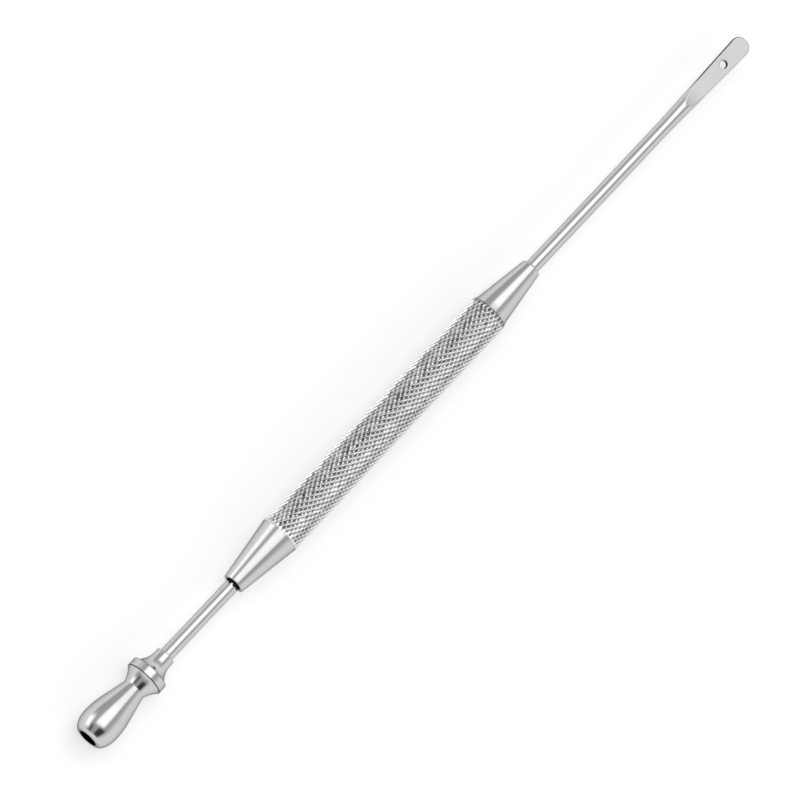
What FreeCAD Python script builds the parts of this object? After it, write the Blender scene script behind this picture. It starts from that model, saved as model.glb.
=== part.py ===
import FreeCAD, Part
import math
import os
import re
import Sketcher

# Suction elevator: a hose connector, a suction tube pressed flat into a blade, and a knurled grip handle.
# The axis runs along X from the hose mouth to the blade tip, and the blade's flats face up and down.

# Driving sizes in millimetres, angles in degrees
SIZES = {
    # hose connector, from its mouth forward
    "olive_diameter": 8.26,
    "olive_crown_station": 3.6,
    "olive_crown_radius": 18.8,
    "olive_taper_angle": 13.2,
    "olive_shoulder_radius": 1.3,
    "mouth_rim_width": 0.2,
    "mouth_bore_diameter": 4.0,
    "mouth_bore_depth": 8.0,
    "drill_point_angle": 118,
    "neck_diameter": 4.78,
    "flare_length": 2.8,
    "flare_radius": 6.0,
    "collar_diameter": 8.08,
    "collar_width": 1.8,
    "collar_chamfer": 0.1,
    "cavetto_diameter": 7.5,
    "cavetto_radius": 4.8,
    "socket_diameter": 4.06,
    "socket_length": 4.66,
    "socket_depth": 6.0,
    "socket_chamfer": 0.2,
    # suction tube and blade
    "tube_diameter": 2.86,
    "lumen_diameter": 2.0,
    "rear_tube_reach": 19.3,
    "front_tube_reach": 62.15,
    "blade_length": 23.2,
    "blade_width": 4.1,
    "blade_thickness": 1.3,
    "tip_thickness": 0.9,
    "tip_corner_radius": 1.8,
    "flat_length": 12.2,
    "press_radius": 25.0,
    "slot_width": 2.6,
    "slot_height": 0.4,
    "slot_end_to_tip": 4.5,
    "port_diameter": 1.6,
    "port_to_tip": 6.7,
    # grip handle, from its rear nose forward
    "handle_length": 86.1,
    "rear_cone_length": 13.1,
    "front_cone_length": 12.2,
    "rear_nose_diameter": 4.56,
    "rear_nose_chamfer": 0.12,
    "front_nose_diameter": 4.0,
    "front_nose_round": 0.45,
    "front_chamfer_angle": 15,
    "front_chamfer_length": 1.0,
    "front_blend_radius": 12.0,
    "handle_bore_diameter": 3.24,
    "tube_seat_length": 14.0,
    "knurl_diameter": 8.32,
    "knurl_starts": 27,
    "knurl_pitch": 1.6,
    "knurl_depth": 0.3,
    "knurl_backing": 0.5,
    # clearances
    "braze_gap": 0.03,
    "knurl_rise": 0.04,
    "cut_margin": 1.0,
}

# Sizes and stations that follow from the driving ones; each piece is measured from its own rear end
STATIONS = {
    "crown_drop": "olive_crown_radius * (1 - cos(olive_taper_angle * 1 deg))",
    "rim_radius": "mouth_bore_diameter / 2 + mouth_rim_width",
    "olive_height": "olive_diameter / 2 - rim_radius",
    "haunch_radius": "((olive_crown_station - olive_shoulder_radius) ^ 2 + olive_height ^ 2"
                     " - olive_shoulder_radius ^ 2) / (2 * (olive_height - olive_shoulder_radius))",
    "haunch_turn": "asin((olive_crown_station - olive_shoulder_radius)"
                   " / (haunch_radius - olive_shoulder_radius)) / 1 deg",
    "haunch_station": "olive_shoulder_radius * (1 - sin(haunch_turn * 1 deg))",
    "haunch_height": "rim_radius + olive_shoulder_radius * cos(haunch_turn * 1 deg)",
    "taper_station": "olive_crown_station + olive_crown_radius * sin(olive_taper_angle * 1 deg)",
    "taper_height": "olive_diameter / 2 - crown_drop",
    "neck_station": "taper_station + (taper_height - neck_diameter / 2) / tan(olive_taper_angle * 1 deg)",
    "collar_rear": "neck_station + flare_length",
    "collar_front": "collar_rear + collar_width",
    "cavetto_height": "(cavetto_diameter - socket_diameter) / 2",
    "cavetto_front": "collar_front + sqrt((2 * cavetto_radius - cavetto_height) * cavetto_height)",
    "connector_length": "collar_front + socket_length",
    "tube_seat": "connector_length - socket_depth",
    "drill_point_length": "(mouth_bore_diameter - lumen_diameter) / 2 / tan(drill_point_angle / 2 * 1 deg)",
    "fitted_diameter": "tube_diameter + 2 * braze_gap",
    "tube_length": "socket_depth + rear_tube_reach + handle_length + front_tube_reach",
    "blade_start": "tube_length - blade_length",
    "flat_start": "tube_length - flat_length",
    "flat_slope": "atan((blade_thickness - tip_thickness) / 2 / flat_length) / 1 deg",
    "press_x": "flat_start + press_radius * sin(flat_slope * 1 deg)",
    "press_z": "blade_thickness / 2 + press_radius * cos(flat_slope * 1 deg)",
    "press_top": "tube_diameter / 2 + cut_margin",
    "press_start": "press_x - sqrt(press_radius ^ 2 - (press_z - press_top) ^ 2)",
    "slot_end": "tube_length - slot_end_to_tip",
    "throat_radius": "press_radius + (blade_thickness - slot_height) / 2",
    "throat_start": "flat_start - sqrt(throat_radius ^ 2"
                    " - (throat_radius - (slot_width - slot_height) / 2) ^ 2)",
    "tip_round_start": "tube_length - tip_corner_radius",
    "tip_half_width": "tube_diameter / 2 + (blade_width - tube_diameter) / 2"
                      " * (blade_length - tip_corner_radius) / blade_length",
    "knurl_end": "handle_length - front_cone_length",
    "knurl_length": "knurl_end - rear_cone_length",
    "chamfer_height": "front_chamfer_length * tan(front_chamfer_angle * 1 deg)",
    "knurl_end_height": "knurl_diameter / 2 - chamfer_height",
    "front_cone_height": "knurl_end_height - knurl_rise - chamfer_height",
    "rear_shoulder_height": "knurl_diameter / 2 - knurl_rise",
    "core_height": "knurl_diameter / 2 - knurl_depth - knurl_backing",
    "overall_length": "connector_length + rear_tube_reach + handle_length + front_tube_reach",
    "axis_height": "knurl_diameter / 2 * cos(90 deg / knurl_starts)",
}

AXIS = FreeCAD.Vector(1, 0, 0)
UP = FreeCAD.Vector(0, 0, 1)
# Turns a thing drawn level, with its normal up, so that its normal lies along the axis
ACROSS = FreeCAD.Rotation(FreeCAD.Vector(1, 1, 1), 120)
# How far a searched edge or a sewn corner may lie from its place
TOLERANCE = 1e-4

doc = FreeCAD.newDocument("suction_elevator")


def named(text):
    """Writes each size's name in an expression in full, with the sheet that holds it."""
    def full(word):
        sheet = "Sizes." if word.group() in SIZES else "Stations." if word.group() in STATIONS else ""
        return sheet + word.group()
    return re.sub("[a-z_]+", full, text)


def add_sheet(name, cells):
    sheet = doc.addObject("Spreadsheet::Sheet", name)
    for row, (alias, content) in enumerate(cells.items(), start=1):
        sheet.set(f"A{row}", alias)
        sheet.set(f"B{row}", content)
        sheet.setAlias(f"B{row}", alias)
    doc.recompute()
    return sheet


sizes = add_sheet("Sizes", {alias: str(value) for alias, value in SIZES.items()})
add_sheet("Stations", {alias: "=" + named(formula) for alias, formula in STATIONS.items()})


def value(text):
    return float(sizes.evalExpression(named(text)))


def bind(thing, **expressions):
    for path, text in expressions.items():
        thing.setExpression(path.replace("__", "."), named(text))


def origin_plane(body, role):
    return next(feature for feature in body.Origin.OriginFeatures if feature.Role == role)


def place_on_axis(piece, rear_station):
    """Sets a piece on the instrument's axis, with its own rear end at the given station."""
    bind(piece, Placement__Base__x=f"{rear_station} - overall_length / 2", Placement__Base__z="axis_height")


def arc_between(start, end, radius, turn):
    """The shorter arc from start to end; turn is 1 for counterclockwise and -1 for clockwise."""
    chord = end - start
    left = FreeCAD.Vector(-chord.y, chord.x, 0) / chord.Length
    centre = (start + end) / 2 + left * turn * math.sqrt(radius**2 - chord.Length**2 / 4)
    first, last = (start, end) if turn > 0 else (end, start)
    angles = [math.atan2(point.y - centre.y, point.x - centre.x) for point in (first, last)]
    return Part.ArcOfCircle(Part.Circle(centre, UP, radius), *angles)


def draw_outline(sketch, corners):
    """Draws a closed outline of corners (x, y), or (x, y, radius, turn) if an arc leads to the next one."""
    points = [FreeCAD.Vector(value(corner[0]), value(corner[1]), 0) for corner in corners]
    ends = []
    for index, corner in enumerate(corners):
        start, end = points[index], points[(index + 1) % len(points)]
        if len(corner) == 2:
            edge = sketch.addGeometry(Part.LineSegment(start, end), False)
            ends.append((edge, 1, 2))
            continue
        radius, turn = corner[2:]
        edge = sketch.addGeometry(arc_between(start, end, value(radius), turn), False)
        ends.append((edge, 1, 2) if turn > 0 else (edge, 2, 1))
        bound = sketch.addConstraint(Sketcher.Constraint("Radius", edge, value(radius)))
        sketch.setExpression(f"Constraints[{bound}]", named(radius))
    for index, (corner, point) in enumerate(zip(corners, points)):
        edge, start, _ = ends[index]
        before, _, finish = ends[index - 1]
        sketch.addConstraint(Sketcher.Constraint("Coincident", before, finish, edge, start))
        for direction, axis, text, distance in zip(("DistanceX", "DistanceY"), (-2, -1), corner, point):
            if text == "0":
                sketch.addConstraint(Sketcher.Constraint("PointOnObject", edge, start, axis))
                continue
            bound = sketch.addConstraint(Sketcher.Constraint(direction, -1, 1, edge, start, distance))
            sketch.setExpression(f"Constraints[{bound}]", named(text))


def body_sketch(body, name, role, corners):
    sketch = body.newObject("Sketcher::SketchObject", name)
    sketch.AttachmentSupport = [(origin_plane(body, role), "")]
    sketch.MapMode = "FlatFace"
    draw_outline(sketch, corners)
    return sketch


def turn(body, kind, name, corners):
    """Turns an outline round the X axis: PartDesign::Revolution adds it and PartDesign::Groove cuts it."""
    sketch = body_sketch(body, f"{name}_outline", "XY_Plane", corners)
    feature = body.newObject(kind, name)
    feature.Profile = sketch
    feature.ReferenceAxis = (sketch, ["H_Axis"])
    feature.Angle = 360
    doc.recompute()
    return feature


def rim(shape, station, height):
    """The name of the circular edge at a station along the axis, with a given radius."""
    for index, edge in enumerate(shape.Edges, start=1):
        curve = edge.Curve
        if not isinstance(curve, Part.Circle):
            continue
        if abs(curve.Center.x - value(station)) < TOLERANCE and abs(curve.Radius - value(height)) < TOLERANCE:
            return f"Edge{index}"
    raise ValueError(f"no edge at {station} with radius {height}")


def round_rim(body, name, radius, station, height):
    base = body.Tip
    feature = body.newObject("PartDesign::Fillet", name)
    feature.Base = (base, [rim(base.Shape, station, height)])
    bind(feature, Radius=radius)
    doc.recompute()


def make_hose_connector():
    """Hollow olive, neck, hose stop collar and tube socket, turned from one bar."""
    body = doc.addObject("PartDesign::Body", "hose_connector")
    turn(body, "PartDesign::Revolution", "connector_blank", [
        ("0", "0"),
        ("0", "rim_radius", "olive_shoulder_radius", -1),
        ("haunch_station", "haunch_height", "haunch_radius", -1),
        ("olive_crown_station", "olive_diameter / 2", "olive_crown_radius", -1),
        ("taper_station", "taper_height"),
        ("neck_station", "neck_diameter / 2", "flare_radius", 1),
        ("collar_rear", "collar_diameter / 2 - collar_chamfer"),
        ("collar_rear + collar_chamfer", "collar_diameter / 2"),
        ("collar_front - collar_chamfer", "collar_diameter / 2"),
        ("collar_front", "collar_diameter / 2 - collar_chamfer"),
        ("collar_front", "cavetto_diameter / 2", "cavetto_radius", 1),
        ("cavetto_front", "socket_diameter / 2"),
        ("connector_length - socket_chamfer", "socket_diameter / 2"),
        ("connector_length", "socket_diameter / 2 - socket_chamfer"),
        ("connector_length", "0"),
    ])
    turn(body, "PartDesign::Groove", "connector_bores", [
        ("0", "0"),
        ("0", "mouth_bore_diameter / 2"),
        ("mouth_bore_depth", "mouth_bore_diameter / 2"),
        ("mouth_bore_depth + drill_point_length", "lumen_diameter / 2"),
        ("tube_seat", "lumen_diameter / 2"),
        ("tube_seat", "fitted_diameter / 2"),
        ("connector_length", "fitted_diameter / 2"),
        ("connector_length", "0"),
    ])
    place_on_axis(body, "0")
    return body


def section(name, station, width):
    """A section across the axis at a station of the tube, as high as the tube and of the given width."""
    ring = doc.addObject("Part::Ellipse", name)
    ring.Placement.Rotation = ACROSS
    bind(ring, MajorRadius=f"{width} / 2", MinorRadius="tube_diameter / 2", Placement__Base__x=station)
    return ring


def rod(name, rear, front, diameter):
    """A straight rod along the axis between two stations."""
    feature = doc.addObject("Part::Cylinder", name)
    feature.Placement.Rotation = ACROSS
    bind(feature, Radius=f"{diameter} / 2", Height=f"{front} - ( {rear} )", Placement__Base__x=rear)
    return feature


def plate(name, rotation, depth, corners):
    """A sketched outline drawn out to both sides by half the depth."""
    sketch = doc.addObject("Sketcher::SketchObject", f"{name}_outline")
    sketch.Placement.Rotation = rotation
    draw_outline(sketch, corners)
    feature = doc.addObject("Part::Extrusion", name)
    feature.Base = sketch
    feature.DirMode = "Normal"
    feature.Solid = True
    feature.Symmetric = True
    bind(feature, LengthFwd=depth)
    return feature


def fuse(name, shapes):
    feature = doc.addObject("Part::MultiFuse", name)
    feature.Shapes = shapes
    return feature


def combine(kind, name, base, tool):
    """Part::Cut takes the tool away from the base, and Part::Common keeps what both fill."""
    feature = doc.addObject(kind, name)
    feature.Base = base
    feature.Tool = tool
    return feature


def make_press_waste(name, rotation):
    """What the press takes from one side of the blade: an arc down to the flat, then the flat to the tip."""
    return plate(name, rotation, "blade_width + 2 * cut_margin", [
        ("press_start", "press_top", "press_radius", 1),
        ("flat_start", "blade_thickness / 2"),
        ("tube_length", "tip_thickness / 2"),
        ("tube_length + cut_margin", "tip_thickness / 2"),
        ("tube_length + cut_margin", "press_top"),
    ])


def make_tip_waste():
    """What lies outside the rounded tip in plan."""
    return plate("tip_waste", FreeCAD.Rotation(), "tube_diameter + 2 * cut_margin", [
        ("tip_round_start", "tip_half_width", "tip_corner_radius", -1),
        ("tube_length", "tip_half_width - tip_corner_radius"),
        ("tube_length", "tip_corner_radius - tip_half_width", "tip_corner_radius", -1),
        ("tip_round_start", "- tip_half_width"),
        ("tip_round_start", "- blade_width / 2 - cut_margin"),
        ("tube_length + cut_margin", "- blade_width / 2 - cut_margin"),
        ("tube_length + cut_margin", "blade_width / 2 + cut_margin"),
        ("tip_round_start", "blade_width / 2 + cut_margin"),
    ])


def make_throat():
    """The lumen inside the blade: it widens a little, and is pressed with the blade into a flat slot."""
    widening = doc.addObject("Part::Cone", "throat_cone")
    widening.Placement.Rotation = ACROSS
    bind(
        widening,
        Radius1="lumen_diameter / 2",
        Radius2="slot_width / 2",
        Height="slot_end - blade_start",
        Placement__Base__x="blade_start",
    )
    pressed = plate("throat_plate", FreeCAD.Rotation(AXIS, 90), "slot_width", [
        ("blade_start", "slot_width / 2"),
        ("throat_start", "slot_width / 2", "throat_radius", 1),
        ("flat_start", "slot_height / 2"),
        ("slot_end", "slot_height / 2"),
        ("slot_end", "- slot_height / 2"),
        ("flat_start", "- slot_height / 2", "throat_radius", 1),
        ("throat_start", "- slot_width / 2"),
        ("blade_start", "- slot_width / 2"),
    ])
    return combine("Part::Common", "lumen_throat", widening, pressed)


def make_suction_tube():
    """One tube whose front end is widened and pressed flat into a blade, closed at the tip, with a port."""
    blade_blank = doc.addObject("Part::Loft", "blade_blank")
    blade_blank.Sections = [
        section("blade_root_section", "blade_start", "tube_diameter"),
        section("blade_tip_section", "tube_length", "blade_width"),
    ]
    blade_blank.Solid = True
    blade_blank.Ruled = True
    blank = fuse("tube_blank", [rod("tube_rod", "0", "blade_start", "tube_diameter"), blade_blank])
    waste = fuse("blade_waste", [
        make_press_waste("upper_press_waste", FreeCAD.Rotation(AXIS, 90)),
        make_press_waste("lower_press_waste", FreeCAD.Rotation(AXIS, -90)),
        make_tip_waste(),
    ])
    port = doc.addObject("Part::Cylinder", "port")
    bind(
        port,
        Radius="port_diameter / 2",
        Height="tube_diameter + 2 * cut_margin",
        Placement__Base__x="tube_length - port_to_tip",
        Placement__Base__z="- tube_diameter / 2 - cut_margin",
    )
    lumen = rod("lumen_rod", "- cut_margin", "blade_start", "lumen_diameter")
    suction_way = fuse("suction_way", [lumen, make_throat(), port])
    pressed = combine("Part::Cut", "pressed_tube", blank, waste)
    tube = combine("Part::Cut", "suction_tube", pressed, suction_way)
    place_on_axis(tube, "tube_seat")
    return tube


def make_grip_turning():
    """The handle as turned and bored: two cones with a recessed core between them that carries the knurl."""
    body = doc.addObject("PartDesign::Body", "grip_turning")
    turn(body, "PartDesign::Revolution", "grip_blank", [
        ("0", "0"),
        ("0", "rear_nose_diameter / 2 - rear_nose_chamfer"),
        ("rear_nose_chamfer", "rear_nose_diameter / 2"),
        ("rear_cone_length", "rear_shoulder_height"),
        ("rear_cone_length", "core_height"),
        ("knurl_end", "core_height"),
        ("knurl_end", "knurl_end_height - knurl_rise"),
        ("knurl_end + front_chamfer_length", "front_cone_height"),
        ("handle_length", "front_nose_diameter / 2"),
        ("handle_length", "0"),
    ])
    turn(body, "PartDesign::Groove", "grip_bores", [
        ("0", "0"),
        ("0", "handle_bore_diameter / 2"),
        ("handle_length - tube_seat_length", "handle_bore_diameter / 2"),
        ("handle_length - tube_seat_length", "fitted_diameter / 2"),
        ("handle_length", "fitted_diameter / 2"),
        ("handle_length", "0"),
    ])
    round_rim(body, "front_nose_edge", "front_nose_round", "handle_length", "front_nose_diameter / 2")
    blend_station = "knurl_end + front_chamfer_length"
    round_rim(body, "front_blend", "front_blend_radius", blend_station, "front_cone_height")
    return body


def knurl_shape():
    """A sleeve with a diamond knurl: ridges cross at nodes on the crest, and each diamond dips to a pit."""
    starts = round(value("knurl_starts"))
    columns = 2 * round(value("knurl_length / knurl_pitch"))
    step = value("knurl_length") / columns
    rear = value("rear_cone_length")
    depth = value("knurl_depth")
    end_height = value("knurl_end_height")
    slope = value("tan(front_chamfer_angle * 1 deg)")
    half_turn = math.pi / starts
    inner = (value("core_height") + value("handle_bore_diameter / 2")) / 2
    points = []
    facets = []

    def point(column, place, height):
        """Adds a point; place counts half diamonds round the sleeve, from beside the lowest line."""
        angle = -math.pi / 2 + half_turn * (place + 0.5)
        across = FreeCAD.Vector(0, height * math.cos(angle), height * math.sin(angle))
        points.append(across + AXIS * (rear + step * column))
        return len(points) - 1

    def crest(column):
        return min(value("knurl_diameter / 2"), end_height + slope * step * (columns - column))

    nodes = {}
    for column in range(columns + 1):
        height = crest(column)
        for place in range(column % 2, 2 * starts, 2):
            nodes[column, place] = point(column, place, height)
    for column in range(1, columns):
        height = crest(column) - depth
        for place in range(1 - column % 2, 2 * starts, 2):
            pit = point(column, place, height)
            left, right = nodes[column, (place - 1) % (2 * starts)], nodes[column, (place + 1) % (2 * starts)]
            rear_node, front_node = nodes[column - 1, place], nodes[column + 1, place]
            facets += [(rear_node, left, pit), (left, front_node, pit)]
            facets += [(front_node, right, pit), (right, rear_node, pit)]
    rings = {}
    for column, inward in ((0, 1), (columns, columns - 1)):
        rings[column] = [point(column, place, inner) for place in range(column % 2, 2 * starts, 2)]
        for index, place in enumerate(range(column % 2, 2 * starts, 2)):
            here, following = nodes[column, place], nodes[column, (place + 2) % (2 * starts)]
            between = nodes[inward, (place + 1) % (2 * starts)]
            beside = rings[column][(index + 1) % starts]
            facets.append((here, following, between))
            facets.append((here, following, rings[column][index]))
            facets.append((following, beside, rings[column][index]))
    for index in range(starts):
        following = (index + 1) % starts
        facets.append((rings[0][index], rings[0][following], rings[columns][index]))
        facets.append((rings[0][following], rings[columns][following], rings[columns][index]))
    shell = Part.Shape()
    shell.makeShapeFromMesh((points, facets), TOLERANCE)
    return Part.Solid(shell)


def make_grip_handle():
    knurl = doc.addObject("Part::Feature", "knurl_sleeve")
    knurl.Shape = knurl_shape()
    handle = fuse("grip_handle", [make_grip_turning(), knurl])
    handle.Refine = False
    place_on_axis(handle, "connector_length + rear_tube_reach")
    return handle


pieces = [make_hose_connector(), make_suction_tube(), make_grip_handle()]
doc.recompute()

for thing in doc.Objects:
    if {"Invalid", "Error"} & set(thing.State):
        raise RuntimeError(f"{thing.Name} did not build")
for piece in pieces:
    if piece.Shape.isNull() or not piece.Shape.isValid() or len(piece.Shape.Solids) != 1:
        raise RuntimeError(f"{piece.Label} is not one valid solid")

os.makedirs("parts", exist_ok=True)
for piece in pieces:
    piece.Shape.exportStep(f"parts/{piece.Label}.step")
    box = piece.Shape.BoundBox
    print(f"{piece.Label}: {box.XMin:.3f} to {box.XMax:.3f}, {box.ZMin:.3f} to {box.ZMax:.3f},"
          f" volume {piece.Shape.Volume:.1f}")
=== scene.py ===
import math

import bmesh
import bpy
import numpy as np
from mathutils import Matrix, Vector


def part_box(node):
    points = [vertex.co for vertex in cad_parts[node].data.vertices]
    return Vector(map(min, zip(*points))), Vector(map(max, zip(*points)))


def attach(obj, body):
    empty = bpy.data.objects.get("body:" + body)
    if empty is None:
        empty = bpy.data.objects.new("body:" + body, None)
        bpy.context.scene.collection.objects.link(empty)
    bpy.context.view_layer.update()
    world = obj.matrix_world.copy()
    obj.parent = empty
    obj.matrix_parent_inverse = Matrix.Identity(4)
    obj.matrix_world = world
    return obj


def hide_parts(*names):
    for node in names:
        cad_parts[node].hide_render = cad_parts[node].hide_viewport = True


# Suction elevator: a polished hose connector, a drawn tube pressed into a blade, and a knurled grip handle.
# Sizes are in millimetres and stations run along the axis from the hose mouth, until a mesh is made.

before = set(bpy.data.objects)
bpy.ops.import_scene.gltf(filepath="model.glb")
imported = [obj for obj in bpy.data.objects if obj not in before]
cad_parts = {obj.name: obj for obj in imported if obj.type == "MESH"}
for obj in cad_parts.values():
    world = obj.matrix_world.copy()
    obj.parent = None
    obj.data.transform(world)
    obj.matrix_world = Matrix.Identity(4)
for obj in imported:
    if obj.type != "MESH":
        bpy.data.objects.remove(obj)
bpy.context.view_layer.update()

MM = 0.001
CONNECTOR_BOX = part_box("hose_connector")
HANDLE_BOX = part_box("grip_handle")
TUBE_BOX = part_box("suction_tube")
MOUTH_X = CONNECTOR_BOX[0].x
AXIS_Z = (CONNECTOR_BOX[0].z + CONNECTOR_BOX[1].z) / 2


def station_of(x):
    return (x - MOUTH_X) / MM


def x_at(station):
    return MOUTH_X + station * MM


# Stations read from the frame
CONNECTOR_END = station_of(CONNECTOR_BOX[1].x)
TUBE_SEAT = station_of(TUBE_BOX[0].x)
TIP = station_of(TUBE_BOX[1].x)
HANDLE_REAR = station_of(HANDLE_BOX[0].x)
HANDLE_FRONT = station_of(HANDLE_BOX[1].x)

# Hose connector
OLIVE_RADIUS = 4.13
OLIVE_CROWN = 3.6
OLIVE_CROWN_ARC = 18.8
OLIVE_TAPER = math.radians(13.2)
OLIVE_SHOULDER_ARC = 1.3
MOUTH_BORE = 2.0
MOUTH_RIM = 0.2
MOUTH_BORE_DEPTH = 8.0
DRILL_POINT = math.radians(59)
NECK_RADIUS = 2.39
FLARE_LENGTH = 2.8
FLARE_ARC = 6.0
COLLAR_RADIUS = 4.04
COLLAR_WIDTH = 1.8
CAVETTO_RADIUS = 3.75
CAVETTO_ARC = 4.8
SOCKET_RADIUS = 2.03
SOCKET_ROUND = 0.25
TAPER_START = (
    OLIVE_CROWN + OLIVE_CROWN_ARC * math.sin(OLIVE_TAPER),
    OLIVE_RADIUS - OLIVE_CROWN_ARC * (1 - math.cos(OLIVE_TAPER)),
)
NECK = TAPER_START[0] + (TAPER_START[1] - NECK_RADIUS) / math.tan(OLIVE_TAPER)
COLLAR_REAR = NECK + FLARE_LENGTH
COLLAR_FRONT = COLLAR_REAR + COLLAR_WIDTH

# Suction tube and blade
TUBE_RADIUS = 1.43
LUMEN_RADIUS = 1.0
LUMEN_STOP = 20.0
BLADE_LENGTH = 23.2
BLADE_HALF_WIDTH = 2.05
BLADE_HALF_THICKNESS = 0.65
TIP_HALF_THICKNESS = 0.45
TIP_CORNER = 1.8
TIP_EDGE_ROUND = 0.19
FLAT_LENGTH = 12.2
PRESS_ARC = 25.0
PRESS_CREASE = 0.03
PORT_RADIUS = 0.8
PORT_TO_TIP = 6.7
PORT_EDGE_ROUND = 0.14
PORT_WINDOW = 1.2
SLOT_HALF_HEIGHT = 0.2
SLOT_HALF_WIDTH = 1.25

# Grip handle
REAR_CONE = 13.1
FRONT_CONE = 12.2
REAR_NOSE_RADIUS = 2.28
REAR_NOSE_ROUND = 0.15
FRONT_NOSE_RADIUS = 2.0
FRONT_NOSE_ROUND = 0.45
FRONT_NOSE_ARC = FRONT_NOSE_ROUND * 1.05
CHAMFER_ANGLE = math.radians(15)
CHAMFER_LENGTH = 1.0
CHAMFER_DROP = CHAMFER_LENGTH * math.tan(CHAMFER_ANGLE)
HANDLE_BORE = 1.62
TUBE_FIT = 1.46
TUBE_SEAT_LENGTH = 14.0
KNURL_START = HANDLE_REAR + REAR_CONE
KNURL_END = HANDLE_FRONT - FRONT_CONE
KNURL_RADIUS = 4.16
KNURL_STARTS = 27
KNURL_PITCH = 1.6
KNURL_DEPTH = 0.3
KNURL_RISE = 0.04
KNURL_CUTS = 6
KNURL_SEED = 11
KNURL_UNEVENNESS = 0.09
KNURL_DEPTH_LIMITS = (0.7, 1.3)
KNURL_LOW_RIDGES = 0.33
# The knurl's lowest line lies between two lines of crests, so that the handle rests on both
KNURL_TURN = -math.pi / 2 + math.pi / (2 * KNURL_STARTS)

# How finely the shapes are followed
OUTLINE_STEP = 0.03
EDGE_PASSES = 3
EDGE_REACH = 0.12
TURN_STEP = math.radians(3)
LONGEST_STEP = 1.0
CONNECTOR_SEGMENTS = 160
TUBE_SEGMENTS = 192
BLADE_RINGS = 190
TIP_RINGS = 40
PORT_PATCH_SHARES = (0.35, 0.7, 1.0)
PORT_EDGE_TURNS = (18, 36, 54, 72, 90)
SAME_PLACE = 1e-8
NO_LENGTH = 1e-9
SHARP_EDGE = math.radians(50)

# Metal: colours, brushed marks as (stretch of the noise, roughness, bump height in metres, bump strength), and where
# the grime and the painted shade go
STEEL = (0.6, 0.6, 0.6)
WORN_RIDGE = (0.97, 0.97, 0.97)
PIT_GRIME_AND_SHADE = (0.17, 0.17, 0.17)
# Near black, for the painted shade in the mouth's bore, along the collar's edges, in the port and on the tube at the
# handle
PAINTED_SHADE_BLACK = (0.02, 0.02, 0.02)
BLADE_EDGE_REFLECTION_DARK = (0.12, 0.12, 0.12)
EDGE_TINT = (0.3, 0.3, 0.3)
NOISE_RANGE = (0.3, 0.7)
MARK_DETAIL = 3
TURNED_MARKS = ((9000, 300, 300), (0.15, 0.22), 0.000004, 0.5)
DRAWN_MARKS = ((120, 6000, 6000), (0.14, 0.2), 0.000003, 0.5)
BRUSHED_MARKS = ((7000, 400, 400), (0.17, 0.25), 0.000003, 0.4)
SATIN = 0.14
SATIN_REACH = (3.0, 1.0)
BORE_FADE = (0.01, 0.04)
MOUTH_FADE = 1.0
# Where the painted shade lines along the collar's edges go
COLLAR_LINE_START = 15.99
COLLAR_LINE_HALF = 0.09
COLLAR_LINE_SOFT = 0.03
COLLAR_LINE_RADII = (3.6, 3.8)
PORT_FADE = (0.02, 0.05)
# A ragged band of painted shadow and dark reflection on the tube at the handle's rear nose
NOSE_SHADE_NOISE = 1500
NOSE_SHADE_DETAIL = 2
NOSE_SHADE_REACH = (0.3, 0.95)
NOSE_SHADE_HIDDEN = 1.0
PIT_DEPTHS = (0.22, 0.05)
KNURL_MARGIN = 0.2
# Where the painted dark reflection along the blade's edges goes
BLADE_EDGE_LINE = 0.18
BLADE_EDGE_FADE = 0.07
BLADE_EDGE_START = 3.0
BLADE_EDGE_RISE = 4.0

# Floor
FLOOR_SIZE = 16.0
FLOOR_COLOURS = (0.77, 0.79)
FLOOR_NOISE = 3
FLOOR_GLOW = 0.4

# The studio round the object, in degrees round the axis toward +Y and along it toward +X: each patch has its
# centre, half width and soft edge toward +Y, the same toward +X, and its brightness
STUDIO_GREY = 0.5
STUDIO_PATCHES = {
    "low card": (-78, 33, 14, 0, 100, 5, 1.02),
    "mouth card": (0, 180, 5, -84, 20, 8, 1.1),
    "tip card": (0, 180, 5, 84, 20, 8, 1.1),
    "main softbox": (13, 26, 5, 18, 27, 5, 1.7),
    "side softbox": (80, 17, 5, -12, 22, 7, 1.75),
    "camera's shade": (-15, 22, 5, -29, 20, 4, 0.03),
    "tripod's shade": (48, 11, 6, -38, 19, 6, 0.1),
}

# View: the photograph's pixels of the two ends of the axis, in an image of 800 by 800
IMAGE_SIZE = 800
MOUTH_PIXEL = (87.7, 738.3)
TIP_PIXEL = (745.6, 40.4)
VIEW_BACK = Vector((-0.277, 0.213, 1)).normalized()
CAMERA_DISTANCE = 6.0
CAMERA_CLIP = (0.1, 100)
SENSOR = 36


def arc(start, end, radius, turn, steps):
    """Points on the shorter arc from start to end, without its start; turn is 1 for counterclockwise."""
    start, end = np.array(start, float), np.array(end, float)
    chord = end - start
    length = np.hypot(*chord)
    left = np.array((-chord[1], chord[0])) / length
    centre = (start + end) / 2 + left * turn * math.sqrt(radius**2 - length**2 / 4)
    first = math.atan2(*(start - centre)[::-1])
    last = math.atan2(*(end - centre)[::-1])
    sweep = (last - first + math.pi) % math.tau - math.pi
    angles = first + sweep * np.linspace(0, 1, steps + 1)[1:]
    return [tuple(centre + radius * np.array((math.cos(angle), math.sin(angle)))) for angle in angles]


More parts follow.
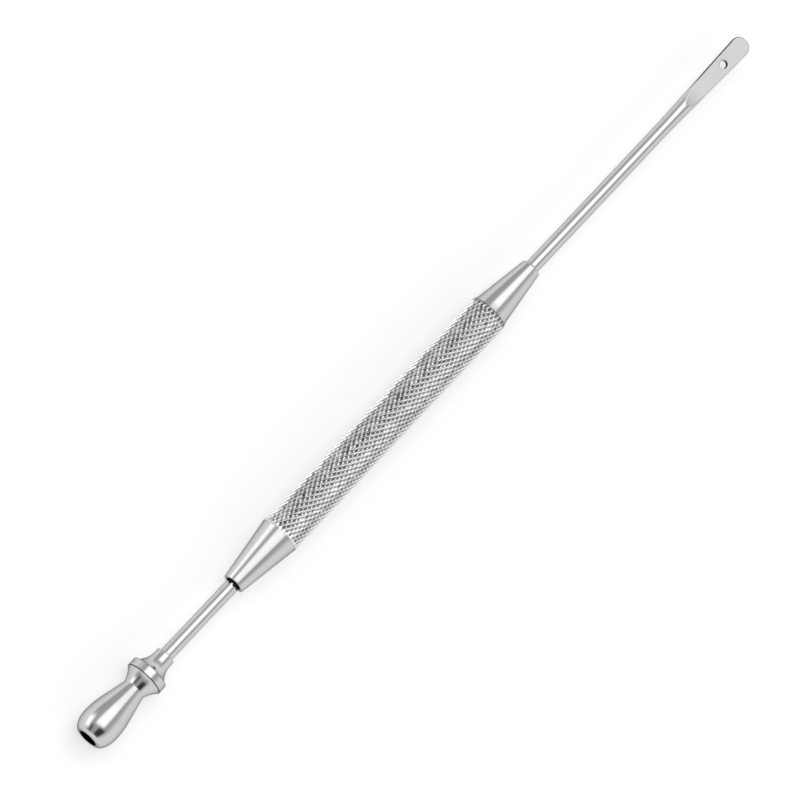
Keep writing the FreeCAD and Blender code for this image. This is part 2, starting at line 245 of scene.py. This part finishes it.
def followed(outline, closed):
    """An outline with its corners slightly eased, with points close together on curves and far apart on straights."""
    points = np.array(outline + outline[:1] if closed else outline, float)
    lengths = np.hypot(*np.diff(points, axis=0).T)
    along = np.concatenate([[0], np.cumsum(lengths)])
    places = np.linspace(0, along[-1], int(along[-1] / OUTLINE_STEP) + 1)
    dense = np.stack([np.interp(places, along, points[:, i]) for i in (0, 1)], axis=1)
    if closed:
        dense = dense[:-1]
    for _ in range(EDGE_PASSES):
        before, after = np.roll(dense, 1, axis=0), np.roll(dense, -1, axis=0)
        eased = (before + 2 * dense + after) / 4
        if not closed:
            eased[0], eased[-1] = dense[0], dense[-1]
        dense = eased
    steps = np.diff(dense, axis=0, append=dense[:1])
    headings = np.unwrap(np.arctan2(steps[:, 1], steps[:, 0]))
    turns = np.abs(np.diff(headings, prepend=headings[0]))
    reach = int(EDGE_REACH / OUTLINE_STEP)
    near_corner = np.convolve(turns > TURN_STEP, np.ones(2 * reach + 1), "same") > 0
    kept, turned, travelled = [0], 0.0, 0.0
    for index in range(1, len(dense)):
        turned += turns[index]
        travelled += OUTLINE_STEP
        last = index == len(dense) - 1 and not closed
        if near_corner[index] or turned > TURN_STEP or travelled > LONGEST_STEP or last:
            kept.append(index)
            turned = travelled = 0.0
    return dense[kept]


def lathe_rings(outline, segments, turn=0.0):
    """One ring of points round the axis for each point of an outline."""
    angles = turn + np.arange(segments) * math.tau / segments
    circle = np.stack([np.zeros(segments), np.cos(angles), np.sin(angles)], axis=1)
    return np.array([circle * height + (station, 0, 0) for station, height in outline])


def belt_faces(near, far):
    """Quads between two closed rows of point numbers."""
    return np.stack([near, np.roll(near, -1), np.roll(far, -1), far], axis=1).tolist()


def ring_faces(first, rings, segments, closed=False):
    """Quads between rings of points that are numbered one ring after the other from first."""
    numbers = first + np.arange(rings * segments).reshape(rings, segments)
    if closed:
        numbers = np.vstack([numbers, numbers[:1]])
    return [face for near, far in zip(numbers, numbers[1:]) for face in belt_faces(near, far)]


def make_piece(name, points, faces, material, node):
    """A smooth mesh that stands for a CAD node, from points in millimetres along the axis from the mouth."""
    placed = np.asarray(points, float) * MM + (MOUTH_X, 0, AXIS_Z)
    mesh = bpy.data.meshes.new(name)
    mesh.from_pydata(placed.tolist(), [], faces)
    work = bmesh.new()
    work.from_mesh(mesh)
    bmesh.ops.remove_doubles(work, verts=work.verts, dist=SAME_PLACE)
    bmesh.ops.dissolve_degenerate(work, edges=work.edges, dist=NO_LENGTH)
    bmesh.ops.recalc_face_normals(work, faces=work.faces)
    work.to_mesh(mesh)
    work.free()
    mesh.shade_smooth()
    mesh.set_sharp_from_angle(angle=SHARP_EDGE)
    mesh.materials.append(material)
    piece = bpy.data.objects.new(name, mesh)
    bpy.context.scene.collection.objects.link(piece)
    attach(piece, "root")
    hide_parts(node)
    return piece


def connector_outline():
    """The hose connector's outline: out over the olive, neck, collar and socket, and back through its bores."""
    rim = MOUTH_BORE + MOUTH_RIM
    crown = (OLIVE_CROWN, OLIVE_RADIUS)
    rise = OLIVE_RADIUS - rim
    run = OLIVE_CROWN - OLIVE_SHOULDER_ARC
    haunch_arc = (run**2 + rise**2 - OLIVE_SHOULDER_ARC**2) / (2 * (rise - OLIVE_SHOULDER_ARC))
    turn = math.asin(run / (haunch_arc - OLIVE_SHOULDER_ARC))
    haunch = (OLIVE_SHOULDER_ARC * (1 - math.sin(turn)), rim + OLIVE_SHOULDER_ARC * math.cos(turn))
    neck = (NECK, NECK_RADIUS)
    drop = CAVETTO_RADIUS - SOCKET_RADIUS
    cavetto_start = (COLLAR_FRONT, CAVETTO_RADIUS)
    cavetto_end = (COLLAR_FRONT + math.sqrt((2 * CAVETTO_ARC - drop) * drop), SOCKET_RADIUS)
    socket_side = (CONNECTOR_END - SOCKET_ROUND, SOCKET_RADIUS)
    socket_face = (CONNECTOR_END, SOCKET_RADIUS - SOCKET_ROUND)
    drill_end = MOUTH_BORE_DEPTH + (MOUTH_BORE - LUMEN_RADIUS) / math.tan(DRILL_POINT)
    return [
        (0, MOUTH_BORE),
        (0, rim),
        *arc((0, rim), haunch, OLIVE_SHOULDER_ARC, turn=-1, steps=16),
        *arc(haunch, crown, haunch_arc, turn=-1, steps=16),
        *arc(crown, TAPER_START, OLIVE_CROWN_ARC, turn=-1, steps=12),
        neck,
        *arc(neck, (COLLAR_REAR, COLLAR_RADIUS), FLARE_ARC, turn=1, steps=20),
        (COLLAR_FRONT, COLLAR_RADIUS),
        cavetto_start,
        *arc(cavetto_start, cavetto_end, CAVETTO_ARC, turn=1, steps=24),
        socket_side,
        *arc(socket_side, socket_face, SOCKET_ROUND, turn=-1, steps=6),
        (CONNECTOR_END, TUBE_FIT),
        (TUBE_SEAT, TUBE_FIT),
        (TUBE_SEAT, LUMEN_RADIUS),
        (drill_end, LUMEN_RADIUS),
        (MOUTH_BORE_DEPTH, MOUTH_BORE),
    ]


def make_connector(material):
    rings = lathe_rings(followed(connector_outline(), closed=True), CONNECTOR_SEGMENTS)
    faces = ring_faces(0, len(rings), CONNECTOR_SEGMENTS, closed=True)
    points = rings.reshape(-1, 3)
    return make_piece("turned_connector", points, faces, material, "hose_connector")


def knurl_points():
    """Columns of points over the knurl: ridges cross at the crests, and each diamond between them is a pit.

    The ridges of one direction stand lower than those of the other.
    """
    half_pitches = 2 * round((KNURL_END - KNURL_START) / KNURL_PITCH)
    columns = half_pitches * KNURL_CUTS
    column, place = np.meshgrid(np.arange(columns + 1), np.arange(KNURL_STARTS * KNURL_CUTS), indexing="ij")
    around = 2 * place + column % 2
    rising, falling = (column + around) / (2 * KNURL_CUTS), (column - around) / (2 * KNURL_CUTS)
    from_low, from_high = (np.abs(ridge - np.round(ridge)) * 2 for ridge in (rising, falling))
    into_pit = np.minimum(KNURL_LOW_RIDGES + (1 - KNURL_LOW_RIDGES) * from_low, from_high)
    rising_cell, falling_cell = (np.floor(ridge).astype(int) for ridge in (rising, falling))
    centre = rising_cell + falling_cell + 1
    inside = (centre > 0) & (centre < half_pitches)
    table = (2 * half_pitches, 2 * half_pitches)
    unevenness = np.random.default_rng(KNURL_SEED).normal(1, KNURL_UNEVENNESS, table)
    cell = unevenness[rising_cell, falling_cell % KNURL_STARTS]
    pit = KNURL_DEPTH * np.clip(cell, *KNURL_DEPTH_LIMITS) * into_pit * inside
    station = KNURL_START + (KNURL_END - KNURL_START) * column / columns
    chamfer = KNURL_RADIUS - CHAMFER_DROP + (KNURL_END - station) * math.tan(CHAMFER_ANGLE)
    height = np.minimum(KNURL_RADIUS, chamfer) - pit
    angle = KNURL_TURN + around * math.pi / (KNURL_STARTS * KNURL_CUTS)
    return np.stack([station, height * np.cos(angle), height * np.sin(angle)], axis=2)


def knurl_faces(first, columns, segments):
    """Quads on their corners between columns of points set half a step apart, and triangles at both ends."""
    faces = []
    numbers = first + np.arange(columns * segments).reshape(columns, segments)
    for column, here in enumerate(numbers):
        even = column % 2 == 0
        corners = [here if even else np.roll(here, 1)]
        if column > 0:
            corners.append(numbers[column - 1])
        corners.append(np.roll(here, -1) if even else here)
        if column < columns - 1:
            corners.append(numbers[column + 1])
        faces += np.stack(corners, axis=1).tolist()
    return faces


def handle_outlines():
    """The handle's outline on both sides of the knurl: the bore and rear cone, then the front cone and its bore."""
    shoulder = KNURL_RADIUS - KNURL_RISE
    chamfer_end = (KNURL_END + CHAMFER_LENGTH, shoulder - 2 * CHAMFER_DROP)
    nose_slope = math.atan((chamfer_end[1] - FRONT_NOSE_RADIUS) / (FRONT_CONE - CHAMFER_LENGTH))
    nose_side = (HANDLE_FRONT - FRONT_NOSE_ROUND, FRONT_NOSE_RADIUS + FRONT_NOSE_ROUND * math.tan(nose_slope))
    nose_face = (HANDLE_FRONT, FRONT_NOSE_RADIUS - FRONT_NOSE_ROUND)
    rear_face = (HANDLE_REAR, REAR_NOSE_RADIUS - REAR_NOSE_ROUND)
    rear_side = (HANDLE_REAR + REAR_NOSE_ROUND, REAR_NOSE_RADIUS)
    seat = HANDLE_FRONT - TUBE_SEAT_LENGTH
    rear = [
        (seat, TUBE_FIT),
        (seat, HANDLE_BORE),
        (HANDLE_REAR, HANDLE_BORE),
        rear_face,
        *arc(rear_face, rear_side, REAR_NOSE_ROUND, turn=-1, steps=5),
        (KNURL_START, shoulder),
    ]
    front = [
        (KNURL_END, shoulder - CHAMFER_DROP),
        chamfer_end,
        nose_side,
        *arc(nose_side, nose_face, FRONT_NOSE_ARC, turn=-1, steps=8),
        (HANDLE_FRONT, TUBE_FIT),
        (seat, TUBE_FIT),
    ]
    return rear, front


def make_handle(material):
    segments = KNURL_STARTS * KNURL_CUTS
    rear, front = (
        lathe_rings(followed(outline, closed=False), segments, KNURL_TURN) for outline in handle_outlines()
    )
    knurl = knurl_points()
    points = np.concatenate([rear, knurl, front]).reshape(-1, 3)
    knurl_first = len(rear) * segments
    front_first = knurl_first + (len(knurl) - 1) * segments
    faces = ring_faces(0, len(rear) + 1, segments)
    faces += knurl_faces(knurl_first, len(knurl), segments)
    faces += ring_faces(front_first, len(front) + 1, segments)
    return make_piece("knurled_handle", points, faces, material, "grip_handle")


def smooth_min(a, b, reach):
    """The lower of two heights, with the corner between them eased over the given reach."""
    return np.minimum(a, b) - np.maximum(reach - np.abs(a - b), 0) ** 2 / (4 * reach)


def blade_half_width(station):
    """Half the blade's width, which grows evenly toward the tip; the tip's own rounding isn't in it."""
    share = np.clip((station - (TIP - BLADE_LENGTH)) / BLADE_LENGTH, 0, 1)
    return TUBE_RADIUS + (BLADE_HALF_WIDTH - TUBE_RADIUS) * share


def pressed_height(station):
    """Half the distance between the two faces of the press: an arc into a flat that thins toward the tip."""
    flat_start = TIP - FLAT_LENGTH
    slope = (BLADE_HALF_THICKNESS - TIP_HALF_THICKNESS) / FLAT_LENGTH
    flat = BLADE_HALF_THICKNESS - slope * (station - flat_start)
    press_x = flat_start + PRESS_ARC * math.sin(math.atan(slope))
    press_z = BLADE_HALF_THICKNESS + PRESS_ARC * math.cos(math.atan(slope))
    inside = np.clip(PRESS_ARC**2 - (station - press_x) ** 2, 0, None)
    return np.where(station < flat_start, press_z - np.sqrt(inside), flat)


def blade_height(station, across):
    """Half the blade's thickness at a station and at a distance across: tube or press, whichever is lower."""
    round_height = TUBE_RADIUS * np.sqrt(np.clip(1 - (across / blade_half_width(station)) ** 2, 0, 1))
    return smooth_min(round_height, pressed_height(station), PRESS_CREASE)


def from_outline(station, across):
    """How far a place on the blade lies inside its outline, seen from above."""
    corner = TIP - TIP_CORNER
    beside = np.clip(np.abs(across) - (blade_half_width(corner) - TIP_CORNER), 0, None)
    from_tip = TIP_CORNER - np.hypot(station - corner, beside)
    return np.where(station > corner, from_tip, blade_half_width(station) - np.abs(across))


def tip_edge(station, across):
    """Half the thickness that the rounded edge of the tip leaves at a place, from its distance to the outline."""
    inset = np.clip(from_outline(station, across) / TIP_EDGE_ROUND, 0, 1)
    return np.where(station > TIP - TIP_CORNER, pressed_height(station) * np.sqrt(1 - (1 - inset) ** 2), np.inf)


def blade_rings():
    """Rings from the start of the blade to its tip, where the last one closes to a line."""
    corner = TIP - TIP_CORNER
    turns = np.linspace(0, math.pi / 2, TIP_RINGS)[1:]
    sides = np.linspace(TIP - BLADE_LENGTH, corner, BLADE_RINGS)
    angles = np.arange(TUBE_SEGMENTS) * math.tau / TUBE_SEGMENTS
    rings = []
    for station in np.concatenate([sides, corner + TIP_CORNER * np.sin(turns)]):
        half_width = blade_half_width(station)
        if station > corner:
            reach = max(TIP_CORNER**2 - (station - corner) ** 2, 0)
            half_width = blade_half_width(corner) - TIP_CORNER + math.sqrt(reach)
        across = half_width * np.cos(angles)
        where = np.full_like(across, station)
        height = np.minimum(blade_height(where, across), tip_edge(where, across))
        height[[0, TUBE_SEGMENTS // 2]] = 0
        rings.append(np.stack([where, across, np.sign(np.sin(angles)) * height], axis=1))
    rings[-1][:, 2] = 0
    return np.array(rings)


def port_patch(border, side):
    """Rings of points from the opening left for the port, over the port's rounded edge and down into the slot."""
    port_x = TIP - PORT_TO_TIP
    angles = np.arctan2(border[:, 1], border[:, 0] - port_x)
    rim = PORT_RADIUS + PORT_EDGE_ROUND
    rings = []
    for share in PORT_PATCH_SHARES:
        x = border[:, 0] * (1 - share) + (port_x + rim * np.cos(angles)) * share
        y = border[:, 1] * (1 - share) + rim * np.sin(angles) * share
        rings.append((x, y, side * blade_height(x, y)))
    for turn in np.radians(PORT_EDGE_TURNS):
        radius = PORT_RADIUS + PORT_EDGE_ROUND * (1 - math.sin(turn))
        drop = PORT_EDGE_ROUND * (1 - math.cos(turn))
        x, y = port_x + radius * np.cos(angles), radius * np.sin(angles)
        rings.append((x, y, side * (blade_height(x, y) - drop)))
    for radius in (PORT_RADIUS, SLOT_HALF_WIDTH):
        x, y = port_x + radius * np.cos(angles), radius * np.sin(angles)
        rings.append((x, y, np.full_like(x, side * SLOT_HALF_HEIGHT)))
    return np.array(rings).transpose(0, 2, 1)


def make_tube(material):
    """The tube and blade, with a lumen that ends out of sight before the blade and a slot only round the port."""
    blade_start = TIP - BLADE_LENGTH
    lumen_end = blade_start - LUMEN_STOP
    outline = [
        (lumen_end, 0),
        (lumen_end, LUMEN_RADIUS),
        (TUBE_SEAT, LUMEN_RADIUS),
        (TUBE_SEAT, TUBE_RADIUS),
        (blade_start, TUBE_RADIUS),
    ]
    rear = lathe_rings(followed(outline, closed=False)[:-1], TUBE_SEGMENTS)
    rings = np.concatenate([rear, blade_rings()])
    faces = np.array(ring_faces(0, len(rings), TUBE_SEGMENTS))
    row, segment = np.divmod(np.arange(len(faces)), TUBE_SEGMENTS)

    window = np.flatnonzero(np.abs(rings[:, 0, 0] - (TIP - PORT_TO_TIP)) < PORT_WINDOW)
    low, high = window[0], window[-1]
    upper_half = rings[(low + high) // 2, : TUBE_SEGMENTS // 2]
    half_span = np.count_nonzero(np.abs(upper_half[:, 1]) < PORT_WINDOW) // 2
    points = rings.reshape(-1, 3)
    kept = np.ones(len(faces), bool)
    port_faces, slot_edges = [], []
    for side, centre in ((1, TUBE_SEGMENTS // 4), (-1, 3 * TUBE_SEGMENTS // 4)):
        left, right = centre - half_span, centre + half_span
        kept &= (row < low) | (row >= high) | (segment < left) | (segment >= right)
        loop = np.concatenate([
            low * TUBE_SEGMENTS + np.arange(left, right),
            np.arange(low, high) * TUBE_SEGMENTS + right,
            high * TUBE_SEGMENTS + np.arange(right, left, -1),
            np.arange(high, low, -1) * TUBE_SEGMENTS + left,
        ])
        patch = port_patch(points[loop], side)
        numbers = len(points) + np.arange(patch.shape[0] * patch.shape[1]).reshape(patch.shape[:2])
        points = np.concatenate([points, *patch])
        for near, far in zip([loop, *numbers], numbers):
            port_faces += belt_faces(near, far)
        slot_edges.append(numbers[-1])
    upper, lower = slot_edges
    below = lower[(2 * half_span - np.arange(len(lower))) % len(lower)]
    port_faces += belt_faces(upper, below)
    all_faces = faces[kept].tolist() + port_faces
    piece = make_piece("suction_blade_tube", points, all_faces, material, "suction_tube")
    mark_blade_edge(piece.data)
    return piece


def mark_blade_edge(mesh):
    """A value on the mesh that is 1 along the outline of the blade, seen from above, and fades inward; it places the
    painted dark reflection on the blade's edges.
    """
    places = np.empty(len(mesh.vertices) * 3)
    mesh.vertices.foreach_get("co", places)
    x, y, _ = places.reshape(-1, 3).T
    station = station_of(x)
    fade_in = np.clip((station - (TIP - FLAT_LENGTH) + BLADE_EDGE_START) / BLADE_EDGE_RISE, 0, 1)
    line = np.clip((BLADE_EDGE_LINE - from_outline(station, y / MM)) / BLADE_EDGE_FADE, 0, 1)
    mark = mesh.attributes.new("blade_edge", "FLOAT", "POINT")
    mark.data.foreach_set("value", line * fade_in)


def new_metal(name):
    """A steel material, with its node tree and its shader."""
    material = bpy.data.materials.new(name)
    material.use_nodes = True
    tree = material.node_tree
    shader = tree.nodes["Principled BSDF"]
    shader.inputs["Base Color"].default_value = (*STEEL, 1)
    shader.inputs["Metallic"].default_value = 1
    shader.inputs["Specular Tint"].default_value = (*EDGE_TINT, 1)
    return material, tree, shader


def noise_over(tree, stretch, detail):
    """Noise over the object's own coordinates, stretched by a different scale along each axis."""
    place = tree.nodes.new("ShaderNodeTexCoord")
    scaled = tree.nodes.new("ShaderNodeVectorMath")
    scaled.operation = "MULTIPLY"
    scaled.inputs[1].default_value = stretch
    noise = tree.nodes.new("ShaderNodeTexNoise")
    noise.inputs["Scale"].default_value = 1
    noise.inputs["Detail"].default_value = detail
    tree.links.new(place.outputs["Object"], scaled.inputs[0])
    tree.links.new(scaled.outputs[0], noise.inputs["Vector"])
    return noise.outputs["Fac"]


def ramp(tree, source, start, end, low=0, high=1):
    """A value that goes from low to high while its source goes from start to end."""
    node = tree.nodes.new("ShaderNodeMapRange")
    node.inputs["From Min"].default_value = start
    node.inputs["From Max"].default_value = end
    node.inputs["To Min"].default_value = low
    node.inputs["To Max"].default_value = high
    tree.links.new(source, node.inputs["Value"])
    return node.outputs["Result"]


def compute(tree, operation, first, second=None):
    """A sum, product or other function of one or two values, each a socket or a number."""
    node = tree.nodes.new("ShaderNodeMath")
    node.operation = operation
    for slot, value in enumerate((first, second)):
        if isinstance(value, (int, float)):
            node.inputs[slot].default_value = value
        elif value is not None:
            tree.links.new(value, node.inputs[slot])
    return node.outputs[0]


def within(tree, value, centre, half, soft):
    """1 within a half width of a value's centre, fading to 0 over a soft edge on both sides."""
    away = compute(tree, "ABSOLUTE", compute(tree, "SUBTRACT", value, centre))
    return ramp(tree, away, half - soft, half + soft, 1, 0)


def distance_of(tree, first, second):
    """The length of a vector of two parts."""
    squares = [compute(tree, "MULTIPLY", part, part) for part in (first, second)]
    return compute(tree, "SQRT", compute(tree, "ADD", *squares))


def object_places(tree):
    """The places along and across the axis, and the distance from it, in metres, as sockets."""
    place = tree.nodes.new("ShaderNodeTexCoord")
    parts = tree.nodes.new("ShaderNodeSeparateXYZ")
    tree.links.new(place.outputs["Object"], parts.inputs[0])
    along, across, height = parts.outputs
    above = compute(tree, "SUBTRACT", height, AXIS_Z)
    return along, across, distance_of(tree, across, above)


def brush(tree, shader, marks):
    """Fine marks of the finishing as bump on a shader; gives the roughness that goes with them."""
    stretch, roughness, height, strength = marks
    noise = noise_over(tree, stretch, MARK_DETAIL)
    bump = tree.nodes.new("ShaderNodeBump")
    bump.inputs["Distance"].default_value = height
    bump.inputs["Strength"].default_value = strength
    tree.links.new(noise, bump.inputs["Height"])
    tree.links.new(bump.outputs["Normal"], shader.inputs["Normal"])
    return ramp(tree, noise, *NOISE_RANGE, *roughness)


def colour_over(tree, shader, layers):
    """Base colour that starts as steel and turns to each colour in turn where its mask is 1."""
    below = None
    for colour, mask in layers:
        mix = tree.nodes.new("ShaderNodeMix")
        mix.data_type = "RGBA"
        mix.inputs["A"].default_value = (*STEEL, 1)
        mix.inputs["B"].default_value = (*colour, 1)
        if below is not None:
            tree.links.new(below, mix.inputs["A"])
        tree.links.new(mask, mix.inputs["Factor"])
        below = mix.outputs["Result"]
    tree.links.new(below, shader.inputs["Base Color"])


def polished_steel():
    """Steel polished on the lathe, with faint rings round the axis, and painted shade in the mouth's bore and along
    the collar's edges.
    """
    material, tree, shader = new_metal("polished_steel")
    tree.links.new(brush(tree, shader, TURNED_MARKS), shader.inputs["Roughness"])
    along, _, distance = object_places(tree)
    # Painted shade: the mouth's bore turns nearly black, fading out past its depth
    in_bore = ramp(tree, distance, *((MOUTH_BORE + fade) * MM for fade in BORE_FADE), 1, 0)
    at_mouth = ramp(tree, along, x_at(MOUTH_BORE_DEPTH), x_at(MOUTH_BORE_DEPTH + MOUTH_FADE), 1, 0)
    layers = [(PAINTED_SHADE_BLACK, compute(tree, "MULTIPLY", in_bore, at_mouth))]
    # Painted shade: two thin dark lines along the collar's edges stand in for the shade and dark reflections there
    at_collar = ramp(tree, distance, *(radius * MM for radius in COLLAR_LINE_RADII))
    for edge in (COLLAR_LINE_START, COLLAR_LINE_START + COLLAR_WIDTH):
        line = within(tree, along, x_at(edge), COLLAR_LINE_HALF * MM, COLLAR_LINE_SOFT * MM)
        layers.append((PAINTED_SHADE_BLACK, compute(tree, "MULTIPLY", line, at_collar)))
    colour_over(tree, shader, layers)
    return material


def drawn_steel():
    """Bright drawn tube with lines along it, a satin blade whose rough edges carry a painted dark reflection, and
    painted shade in the port and on the tube at the handle.
    """
    material, tree, shader = new_metal("drawn_steel")
    bright = brush(tree, shader, DRAWN_MARKS)
    along, across, _ = object_places(tree)
    before_flat, into_flat = SATIN_REACH
    flat_start = TIP - FLAT_LENGTH
    on_flat = ramp(tree, along, x_at(flat_start - before_flat), x_at(flat_start + into_flat))
    satin = compute(tree, "MULTIPLY", on_flat, SATIN)
    # Painted reflection: along the blade's outline the steel turns rough, non-metallic and dark, standing in for the
    # dark reflections in its rounded sides
    blade_edge = tree.nodes.new("ShaderNodeAttribute")
    blade_edge.attribute_name = "blade_edge"
    on_edge = blade_edge.outputs["Fac"]
    roughness = compute(tree, "MAXIMUM", compute(tree, "ADD", bright, satin), on_edge)
    tree.links.new(roughness, shader.inputs["Roughness"])
    tree.links.new(compute(tree, "SUBTRACT", 1, on_edge), shader.inputs["Metallic"])
    # Painted shade: the port's walls and the slot round it turn nearly black
    from_port = distance_of(tree, compute(tree, "SUBTRACT", along, x_at(TIP - PORT_TO_TIP)), across)
    in_port = ramp(tree, from_port, *((PORT_RADIUS + fade) * MM for fade in PORT_FADE), 1, 0)
    # Painted shadow and dark reflection: a ragged dark band on the tube just behind the handle's rear nose, reaching
    # a little way inside it
    nose_shade_noise = noise_over(tree, (NOSE_SHADE_NOISE,) * 3, NOSE_SHADE_DETAIL)
    reach = ramp(tree, nose_shade_noise, *NOISE_RANGE, *(length * MM for length in NOSE_SHADE_REACH))
    from_nose = compute(tree, "SUBTRACT", x_at(HANDLE_REAR), along)
    near_nose = compute(tree, "LESS_THAN", from_nose, reach)
    behind = compute(tree, "LESS_THAN", along, x_at(HANDLE_REAR + NOSE_SHADE_HIDDEN))
    shaded_at_nose = compute(tree, "MULTIPLY", near_nose, behind)
    colour_over(tree, shader, [(BLADE_EDGE_REFLECTION_DARK, on_edge), (PAINTED_SHADE_BLACK, in_port), (PAINTED_SHADE_BLACK, shaded_at_nose)])
    return material


def knurled_steel():
    """Brushed steel whose knurl is bright on its ridges, and dull and dark in its pits with grime and painted shade.
    """
    material, tree, shader = new_metal("knurled_steel")
    tree.links.new(brush(tree, shader, BRUSHED_MARKS), shader.inputs["Roughness"])
    along, _, distance = object_places(tree)
    # Grime and painted shade: the pits darken with their depth
    in_pit = ramp(tree, distance, *((KNURL_RADIUS - depth) * MM for depth in PIT_DEPTHS), 1, 0)
    past_start = ramp(tree, along, x_at(KNURL_START), x_at(KNURL_START + KNURL_MARGIN))
    before_end = ramp(tree, along, x_at(KNURL_END - KNURL_MARGIN), x_at(KNURL_END), 1, 0)
    on_knurl = compute(tree, "MULTIPLY", past_start, before_end)
    in_pit = compute(tree, "MULTIPLY", in_pit, on_knurl)
    colour_over(tree, shader, [(WORN_RIDGE, on_knurl), (PIT_GRIME_AND_SHADE, in_pit)])
    return material


def white_floor():
    """White floor that keeps the object's shadow, and looks white to the camera and in the metal."""
    material = bpy.data.materials.new("white_floor")
    material.use_nodes = True
    tree = material.node_tree
    tree.nodes.clear()
    matt = tree.nodes.new("ShaderNodeBsdfDiffuse")
    tint = tree.nodes.new("ShaderNodeMix")
    tint.data_type = "RGBA"
    for slot, level in zip("AB", FLOOR_COLOURS):
        tint.inputs[slot].default_value = (level, level, level, 1)
    tree.links.new(noise_over(tree, (FLOOR_NOISE,) * 3, 1), tint.inputs["Factor"])
    tree.links.new(tint.outputs["Result"], matt.inputs["Color"])
    glow = tree.nodes.new("ShaderNodeEmission")
    path = tree.nodes.new("ShaderNodeLightPath")
    seen = path.outputs["Is Camera Ray"]
    for kind in ("Is Glossy Ray", "Is Transmission Ray"):
        seen = compute(tree, "MAXIMUM", seen, path.outputs[kind])
    tree.links.new(compute(tree, "MULTIPLY", seen, FLOOR_GLOW), glow.inputs["Strength"])
    both = tree.nodes.new("ShaderNodeAddShader")
    tree.links.new(matt.outputs[0], both.inputs[0])
    tree.links.new(glow.outputs[0], both.inputs[1])
    output = tree.nodes.new("ShaderNodeOutputMaterial")
    tree.links.new(both.outputs[0], output.inputs["Surface"])
    return material


def make_floor():
    half = FLOOR_SIZE / 2
    mesh = bpy.data.meshes.new("floor")
    mesh.from_pydata([(-half, -half, 0), (half, -half, 0), (half, half, 0), (-half, half, 0)], [], [(0, 1, 2, 3)])
    mesh.materials.append(white_floor())
    floor = bpy.data.objects.new("floor", mesh)
    bpy.context.scene.collection.objects.link(floor)


def make_world():
    """A studio of soft patches over grey, by the angle round the X axis and the angle toward +X."""
    world = bpy.data.worlds.new("studio")
    world.use_nodes = True
    tree = world.node_tree
    place = tree.nodes.new("ShaderNodeTexCoord")
    parts = tree.nodes.new("ShaderNodeSeparateXYZ")
    tree.links.new(place.outputs["Generated"], parts.inputs[0])
    toward_y = compute(tree, "ARCTAN2", parts.outputs["Y"], parts.outputs["Z"])
    toward_x = compute(tree, "ARCSINE", parts.outputs["X"])
    level = STUDIO_GREY
    for *angles, brightness in STUDIO_PATCHES.values():
        angles = [math.radians(angle) for angle in angles]
        mask = compute(tree, "MULTIPLY", within(tree, toward_y, *angles[:3]), within(tree, toward_x, *angles[3:]))
        change = compute(tree, "SUBTRACT", brightness, level)
        level = compute(tree, "ADD", level, compute(tree, "MULTIPLY", change, mask))
    tree.links.new(level, tree.nodes["Background"].inputs["Color"])
    bpy.context.scene.world = world


def make_camera():
    """A camera at the photograph's angle, whose roll, lens and shift bring both ends of the axis to their pixels."""
    mouth, tip = (Vector((x, 0, AXIS_Z)) for x in (CONNECTOR_BOX[0].x, TUBE_BOX[1].x))
    eye = (mouth + tip) / 2 + VIEW_BACK * CAMERA_DISTANCE
    across = VIEW_BACK.cross(Vector((1, 0, 0)).cross(VIEW_BACK)).normalized()
    upward = VIEW_BACK.cross(across)
    seen = []
    for end in (mouth, tip):
        offset = end - eye
        depth = -offset.dot(VIEW_BACK)
        seen.append(complex(offset.dot(across) / depth, offset.dot(upward) / depth))
    wanted = [complex(x - IMAGE_SIZE / 2, IMAGE_SIZE / 2 - y) for x, y in (MOUTH_PIXEL, TIP_PIXEL)]
    turn = (wanted[1] - wanted[0]) / (seen[1] - seen[0])
    middle = wanted[0] - seen[0] * turn
    roll = Matrix.Rotation(-math.atan2(turn.imag, turn.real), 3, VIEW_BACK)
    axes = Matrix((roll @ across, roll @ upward, VIEW_BACK)).transposed()
    data = bpy.data.cameras.new("camera")
    data.sensor_width = SENSOR
    data.lens = SENSOR * abs(turn) / IMAGE_SIZE
    data.shift_x = -middle.real / IMAGE_SIZE
    data.shift_y = -middle.imag / IMAGE_SIZE
    data.clip_start, data.clip_end = CAMERA_CLIP
    camera = bpy.data.objects.new("camera", data)
    camera.matrix_world = Matrix.Translation(eye) @ axes.to_4x4()
    bpy.context.scene.collection.objects.link(camera)
    bpy.context.scene.camera = camera


make_connector(polished_steel())
make_tube(drawn_steel())
make_handle(knurled_steel())
make_floor()
make_world()
make_camera()
bpy.context.scene.view_settings.view_transform = "Standard"
